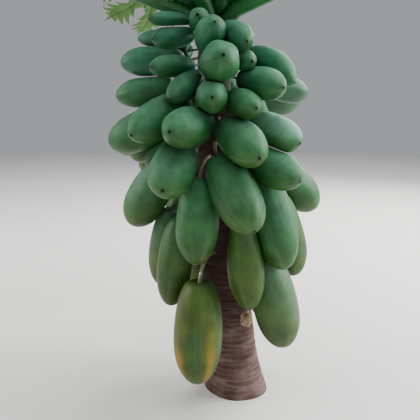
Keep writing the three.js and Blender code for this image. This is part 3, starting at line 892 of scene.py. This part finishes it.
def stalk_skin():
    """Smooth green skin with fine paler flecks and a faint brownish flush in places."""
    made, tree, shader = new_material("leaf_stalk_skin", Roughness=0.42, Coat_Weight=0.12, Coat_Roughness=0.3)
    where = on_piece(tree)
    cloud = ramp(tree, noise(tree, where, 9.0, 3.0), 0.38, 0.64)
    colour = mixed(tree, cloud, tint(14, 68, 30), tint(30, 96, 44))
    fine = ramp(tree, noise(tree, where, 60.0, 4.0, 0.6), 0.5, 0.7)
    colour = laid(tree, colour, fine, 0.3, tint(58, 110, 60))
    flush = ramp(tree, noise(tree, where, 5.0, 2.0), 0.56, 0.72)
    colour = laid(tree, colour, flush, 0.18, tint(104, 76, 60))
    pores = node(tree, "Group", {"Vector": where, "Scale": 300.0, "Size": 0.22}, node_tree=PORES)
    surface(tree, shader, colour, bumped(tree, pores.outputs["Height"], 0.25, 0.0006))
    return made


STALK_SKIN = stalk_skin()
leaves = [leaf_plan(i) for i in range(LEAF_COUNT)]
leaf_stalk_heap = Heap()
for leaf in leaves:
    leaf_stalk_heap.add_rings(leaf_stalk(leaf))
leaf_stalks = leaf_stalk_heap.piece("leaf_stalks", STALK_SKIN)
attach(leaf_stalks, "root")

# Leaf blades
# Large palmate blades, thin and soft. Each of their nine lobes is cut into pointed side lobes along its
# veins. They droop from the end of the stalk, and their lobes hang and twist a little, no two alike.
LOBE_ANGLE = 36
LOBE_LENGTHS = (1, 0.96, 0.86, 0.68, 0.46)
SINUS = 0.27
WEB_END = 0.8
SAG_POWER = 1.7
KEEL = 0.22
LOBE_DROOP = 0.05
LOBE_WAVE = 0.035
LOBE_TWIST = 0.35
LOBE_BEND = 0.1
PUCKER = 0.012
WAIST = 0.06
WEB_FILLET = 0.05
SWELL = 0.165
SIDE_LOBES = 6
FIRST_SIDE_LOBE = 0.36
LAST_SIDE_LOBE = 0.93
VEIN_SLOPE = 0.85
WEB_ROWS = 7
LOBE_ROWS = 37
HALF_COLUMNS = 5
CUT_DEPTH = 0.62
TEETH = 19
TOOTH_DEPTH = 0.1
BLADE_THICK = 0.0009
RIB_RADIUS = 0.0072
RIB_TAPER = 0.16
RIB_SUNK = 0.35
SIDE_RIB_RADIUS = 0.0028
SIDE_RIB_TAPER = 0.25
SIDE_RIB_SUNK = 0.3
LEAF_AGES = 3
LAST_LOBE = len(LOBE_LENGTHS) - 1


def blade_frame(leaf):
    """The blade's own frame as a matrix: X to its side, Y along its middle lobe, Z out of its upper face."""
    ahead = direction(leaf.heading, leaf.tilt)
    side = direction(leaf.heading + 90, 0)
    angle = math.radians(leaf.roll)
    side = side * math.cos(angle) + np.cross(ahead, side) * math.sin(angle)
    lie = np.eye(4)
    lie[:3, :3] = np.stack([side, ahead, np.cross(side, ahead)], 1)
    lie[:3, 3] = leaf_path(leaf)[-1]
    return lie


def side_lobe_wave(y):
    """A wave over the lobe's length that is 1 where a side vein starts and 0 halfway to the next."""
    phase = (y - FIRST_SIDE_LOBE) / (LAST_SIDE_LOBE - FIRST_SIDE_LOBE) * (SIDE_LOBES - 1)
    return 1 - 2 * np.abs(phase - np.round(phase))


def half_width(y, reach, size):
    """Half the width of a lobe at a share y of its length, measured out along the side veins."""
    straight = y * reach
    slope = math.tan(math.radians(LOBE_ANGLE / 2))
    web = straight * slope / (1 - VEIN_SLOPE * slope)
    waist = size * (WAIST + WEB_FILLET * (1 - smooth(y, 0.25, 0.42)))
    swell = SWELL * reach * smooth(y, 0.3, 0.62) * (1 - smooth(y, 0.62, 1.0)) ** 0.8
    body = (waist * (1 - smooth(y, 0.55, 1.0)) + swell) * (1 - y**8)
    cut = CUT_DEPTH * smooth(y, 0.3, 0.45)
    teeth = 1 + TOOTH_DEPTH * np.cos(y * 2 * np.pi * TEETH) * smooth(y, 0.3, 0.5)
    lobed = body * (1 - cut * (1 - side_lobe_wave(y) ** 0.9)) * teeth
    blend = smooth(straight, WEB_END * SINUS * size, 1.25 * SINUS * size)
    return np.minimum(web, web * (1 - blend) + lobed * blend)


def lobe_rows(size, reach):
    """Where a lobe's rows of points lie: as in every lobe across the web, then even to the tip."""
    web = np.linspace(0, WEB_END * SINUS * size, WEB_ROWS) / reach
    rest = np.linspace(web[-1], 1, LOBE_ROWS + 1)[1:]
    return np.concatenate([web, rest])


def hang(leaf, lobe, x, y, out):
    """Height of the blade over its flat outline: its droop, its keel, and each lobe's own wave and twist."""
    radius = np.hypot(x, y)
    share = radius / leaf.blade
    fall = leaf.sag * leaf.blade * share**SAG_POWER
    hub = leaf.sag * leaf.blade * SINUS**SAG_POWER
    free = smooth(share, 0.25, 0.7)
    keel = KEEL * np.abs(out) * (1 - 0.5 * free)
    key = leaf.index * 9 + lobe
    droop = LOBE_DROOP * wobble(key, 3) * share
    wave = LOBE_WAVE * np.sin(5 * share + 6 * wobble(key, 5))
    twist = free * out * LOBE_TWIST * wobble(key, 7)
    return hub - fall + keel + free * leaf.blade * (droop + wave) + twist


def half_lobe(leaf, lobe, side):
    """Points of one half of a lobe in the blade's frame: rows along its rib, columns out to its edge."""
    reach = leaf.blade * LOBE_LENGTHS[abs(lobe)]
    y = lobe_rows(leaf.blade, reach)[:, None]
    wide = half_width(y, reach, leaf.blade)
    if lobe * side == LAST_LOBE:
        wide = wide * (0.45 + 0.55 * smooth(y * reach, 0.1 * leaf.blade, SINUS * leaf.blade))
    across = np.linspace(0, 1, HALF_COLUMNS)[None]
    out = side * wide * across
    along = y * reach + VEIN_SLOPE * wide * across
    along = np.minimum(along, reach * (1 + 0.02 * across))
    angle = math.radians(lobe * LOBE_ANGLE)
    bent = angle + LOBE_BEND * wobble(leaf.index * 9 + lobe, 9) * smooth(y, 0.3, 1)
    px = along * np.sin(bent) + out * np.cos(bent)
    py = along * np.cos(bent) - out * np.sin(bent)
    z = hang(leaf, lobe, px, py, out)
    pucker = PUCKER * leaf.blade * np.sin(np.pi * across) * (1 - 1.6 * side_lobe_wave(y) ** 2)
    z = z + pucker * smooth(y, 0.1, 0.35)
    return np.stack([px, py, z], -1)


def place_blade(leaf, points):
    lie = blade_frame(leaf)
    return points @ lie[:3, :3].T + lie[:3, 3]


def add_blade(heap, leaf):
    age = min(int(leaf.youth * LEAF_AGES), LEAF_AGES - 1)
    for lobe in range(-LAST_LOBE, LAST_LOBE + 1):
        for side in (-1, 1):
            points = half_lobe(leaf, lobe, side)
            faces = grid(*points.shape[:2]).tolist()
            if side > 0:
                faces = [face[::-1] for face in faces]
            heap.add(place_blade(leaf, points), faces, age)


def add_ribs(heap, leaf):
    """The veins that stand out of the blade: one along each lobe and one along each of its side lobes."""
    sunk = np.array([0, 0, RIB_SUNK * RIB_RADIUS * leaf.blade])
    thin = SIDE_RIB_RADIUS * leaf.blade * np.linspace(1, SIDE_RIB_TAPER, HALF_COLUMNS)
    for lobe in range(-LAST_LOBE, LAST_LOBE + 1):
        left = half_lobe(leaf, lobe, -1)
        right = half_lobe(leaf, lobe, 1)
        spine = right[:-1:2, 0]
        thick = RIB_RADIUS * leaf.blade * np.linspace(1, RIB_TAPER, len(spine))
        heap.add_rings(place_blade(leaf, tube(spine - sunk, thick, 6)))
        shares = lobe_rows(leaf.blade, leaf.blade * LOBE_LENGTHS[abs(lobe)])
        for start in np.linspace(FIRST_SIDE_LOBE, LAST_SIDE_LOBE, SIDE_LOBES):
            row = int(np.abs(shares - start).argmin())
            for half in (left, right):
                heap.add_rings(place_blade(leaf, tube(half[row] - SIDE_RIB_SUNK * sunk, thin, 4)))


def blade_skin(name, shade, sheen, rough):
    """One face of a blade: plain leaf green with a fine net of veins in its bump."""
    made, tree, shader = new_material(name, Roughness=rough, Specular_IOR_Level=0.32)
    where = on_piece(tree)
    cloud = ramp(tree, noise(tree, where, 22.0, 3.0), 0.35, 0.65)
    colour = mixed(tree, cloud, tint(*shade), tint(*sheen))
    net = node(tree, "TexVoronoi", {"Vector": where, "Scale": 150.0}, feature="DISTANCE_TO_EDGE")
    height = ramp(tree, net.outputs["Distance"], 0.0, 0.12)
    surface(tree, shader, colour, bumped(tree, height, 0.3, 0.0008))
    return made


def rib_skin():
    """Pale yellowish-green veins."""
    made, tree, shader = new_material("leaf_rib", Roughness=0.5)
    where = on_piece(tree)
    colour = mixed(tree, noise(tree, where, 40.0), tint(122, 152, 78), tint(152, 178, 104))
    tree.links.new(colour, shader.inputs["Base Color"])
    return made


UPPER_FACES = [
    blade_skin("old_leaf_upper", (34, 74, 22), (50, 92, 30), 0.54),
    blade_skin("grown_leaf_upper", (30, 80, 28), (46, 98, 36), 0.5),
    blade_skin("young_leaf_upper", (58, 116, 36), (80, 140, 48), 0.48),
]
LOWER_FACES = [
    blade_skin("old_leaf_lower", (66, 100, 46), (82, 116, 58), 0.64),
    blade_skin("grown_leaf_lower", (62, 104, 48), (78, 120, 60), 0.64),
    blade_skin("young_leaf_lower", (86, 134, 58), (102, 148, 70), 0.62),
]
RIB_SKIN = rib_skin()
for quarter in QUARTERS:
    blade_heap = Heap()
    rib_heap = Heap()
    for leaf in leaves:
        if leaf.quarter == quarter:
            add_blade(blade_heap, leaf)
            add_ribs(rib_heap, leaf)
    blades = blade_heap.piece(f"blades_{quarter}", *UPPER_FACES, *LOWER_FACES)
    thickness = blades.modifiers.new("thickness", "SOLIDIFY")
    thickness.thickness = BLADE_THICK
    thickness.material_offset = len(UPPER_FACES)
    ribs = rib_heap.piece(f"ribs_{quarter}", RIB_SKIN)
    for piece in (blades, ribs):
        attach(piece, "root")
    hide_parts(f"leaves_{quarter}")

# Young fruit and the bud
# Finger-long fruit grow out of the stem in the angles of the lowest leaf stalks. On top, the youngest leaves
# are folded like closed umbrellas round the soft green bud.
AXIL_FRUIT = 8
AXIL_LENGTH = (0.115, 0.045)
AXIL_WIDTH = 0.42
AXIL_ABOVE = 0.034
AXIL_STEEPER = 12
BUD_HEIGHT = 0.09
BUD_RADII = (0.024, 0.008)
BUD_SCALES = 0.12
FOLDED_LEAVES = 3
FOLDED_LENGTH = 0.19
SHORTER_EACH = 0.18
FOLDED_WIDTH = 0.026
NARROWER_EACH = 0.003
FOLDED_RISE = 84
FOLDED_SIDES = 36
FOLDED_ROWS = 40
PLEATS = 9
PLEAT_DEPTH = 0.2


def axil_fruit(leaf):
    length = lerp(AXIL_LENGTH, leaf.index / AXIL_FRUIT)
    foot = on_stem(leaf.heading, leaf.height + AXIL_ABOVE)
    axis = direction(leaf.heading, -leaf.rise - AXIL_STEEPER)
    shape = SimpleNamespace(index=leaf.index, foot=foot, axis=axis, length=length, arch=0.0, neck=0.0)
    shape.width = AXIL_WIDTH * length
    lie = lie_of(shape)
    rings, _, _ = fruit_rings(shape, 30, 28)
    return rings @ lie[:3, :3].T + lie[:3, 3]


def folded_leaf(k):
    """A young leaf whose lobes are gathered round its axis: a spindle with deep pleats and a ragged tip."""
    heading = FIRST_HEADING + (LEAF_COUNT + k) * DIVERGENCE
    length = FOLDED_LENGTH * (1 - SHORTER_EACH * k)
    start = stem_centre(STEM_TOP) + (0, 0, 0.006) + direction(heading, 0) * 0.009
    axis = direction(heading, -FOLDED_RISE)
    sides = np.arange(FOLDED_SIDES) * 2 * np.pi / FOLDED_SIDES
    t, turn = np.meshgrid(np.linspace(0, 1, FOLDED_ROWS), sides, indexing="ij")
    width = FOLDED_WIDTH - NARROWER_EACH * k
    stalk = 0.24 + 0.1 * smooth(t, 0, 0.25)
    spindle = smooth(t, 0.28, 0.55) * (1 - smooth(t, 0.6, 1.02)) ** 0.8
    pleats = 1 + PLEAT_DEPTH * spindle * np.cos(PLEATS * turn + 4 * t)
    radius = width / 2 * (stalk * (1 - smooth(t, 0.5, 1)) + spindle * 0.85) * pleats + 0.0006
    up = rise_of(axis)
    across = np.cross(axis, up)
    ragged = 0.006 * length * spindle * np.cos(PLEATS * turn)
    away = np.cos(turn)[..., None] * up + np.sin(turn)[..., None] * across
    return start + (t * length + ragged)[..., None] * axis + radius[..., None] * away


def bud_cone():
    foot = stem_centre(STEM_TOP) - (0, 0, 0.002)
    t = np.linspace(0, 1, 24)
    path = foot + np.outer(t * BUD_HEIGHT, [0, 0, 1])
    radii = lerp(BUD_RADII, t) * (1 + BUD_SCALES * np.cos(t * 22)) * np.sqrt(1.02 - t**6)
    return tube(path, radii, 24)


young_heap = Heap()
for leaf in leaves[:AXIL_FRUIT]:
    young_heap.add_rings(axil_fruit(leaf))
young_fruit = young_heap.piece("young_fruit", FRUIT_SKIN)
bud_heap = Heap()
bud_heap.add_rings(bud_cone())
for k in range(FOLDED_LEAVES):
    bud_heap.add_rings(folded_leaf(k), kind=1)
bud = bud_heap.piece("bud", STALK_SKIN, UPPER_FACES[2])
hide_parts("crown_bud")
for piece in (young_fruit, bud):
    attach(piece, "root")

# Floor, light and camera
# A plain pale floor under soft studio light, and the camera where the photograph was taken from: about one
# metre up, in front of the tree, looking a little down at its fruit.
FLOOR_HALF = 9.0
SKY_COLOUR = (0.80, 0.84, 0.86, 1)
SKY_STRENGTH = 0.45
CAMERA_PLACE = (-0.097, -1.7, 1.02)
CAMERA_PITCH = 11.86
FOCUS_PIXELS = 500
IMAGE_PIXELS = 420
SENSOR = 36.0


def studio_floor():
    heap = Heap()
    square = np.array([[-1, -1, 0], [1, -1, 0], [1, 1, 0], [-1, 1, 0]])
    heap.add(FLOOR_HALF * square, [[0, 1, 2, 3]])
    made, tree, shader = new_material("studio_floor", Roughness=0.9)
    where = on_piece(tree)
    colour = mixed(tree, noise(tree, where, 3.0), tint(214, 212, 208), tint(222, 220, 216))
    tree.links.new(colour, shader.inputs["Base Color"])
    return heap.piece("studio_floor", made)


def soft_light(name, place, target, size, power, colour):
    lamp = bpy.data.lights.new(name, "AREA")
    lamp.size = size
    lamp.energy = power
    lamp.color = colour
    made = bpy.data.objects.new(name, lamp)
    made.location = place
    made.rotation_euler = (Vector(target) - Vector(place)).to_track_quat("-Z", "Y").to_euler()
    bpy.context.scene.collection.objects.link(made)


studio_floor()
soft_light("sky", (1.3, -0.6, 6.4), (-0.1, 0, 0.8), 4.6, 500, (0.92, 0.98, 1.0))
soft_light("right", (4.9, 0.5, 3.0), (0, 0, 0.8), 3.2, 480, (0.97, 1.0, 1.0))
soft_light("front", (0.9, -4.4, 2.6), (-0.1, 0, 0.7), 2.8, 30, (1.0, 1.0, 0.98))
soft_light("left", (-4.8, 0.2, 2.6), (0, 0, 0.8), 3.0, 170, (1.0, 0.99, 0.96))
soft_light("behind", (2.2, 3.4, 3.2), (0, 0, 0.9), 2.6, 260, (1.0, 1.0, 0.98))
world = bpy.data.worlds.new("studio")
world.use_nodes = True
sky = world.node_tree.nodes["Background"]
sky.inputs["Color"].default_value = SKY_COLOUR
sky.inputs["Strength"].default_value = SKY_STRENGTH
bpy.context.scene.world = world

lens = bpy.data.cameras.new("camera")
lens.sensor_width = SENSOR
lens.lens = SENSOR * FOCUS_PIXELS / IMAGE_PIXELS
camera = bpy.data.objects.new("camera", lens)
camera.location = CAMERA_PLACE
camera.rotation_euler = (math.radians(90 - CAMERA_PITCH), 0, 0)
bpy.context.scene.collection.objects.link(camera)
bpy.context.scene.camera = camera
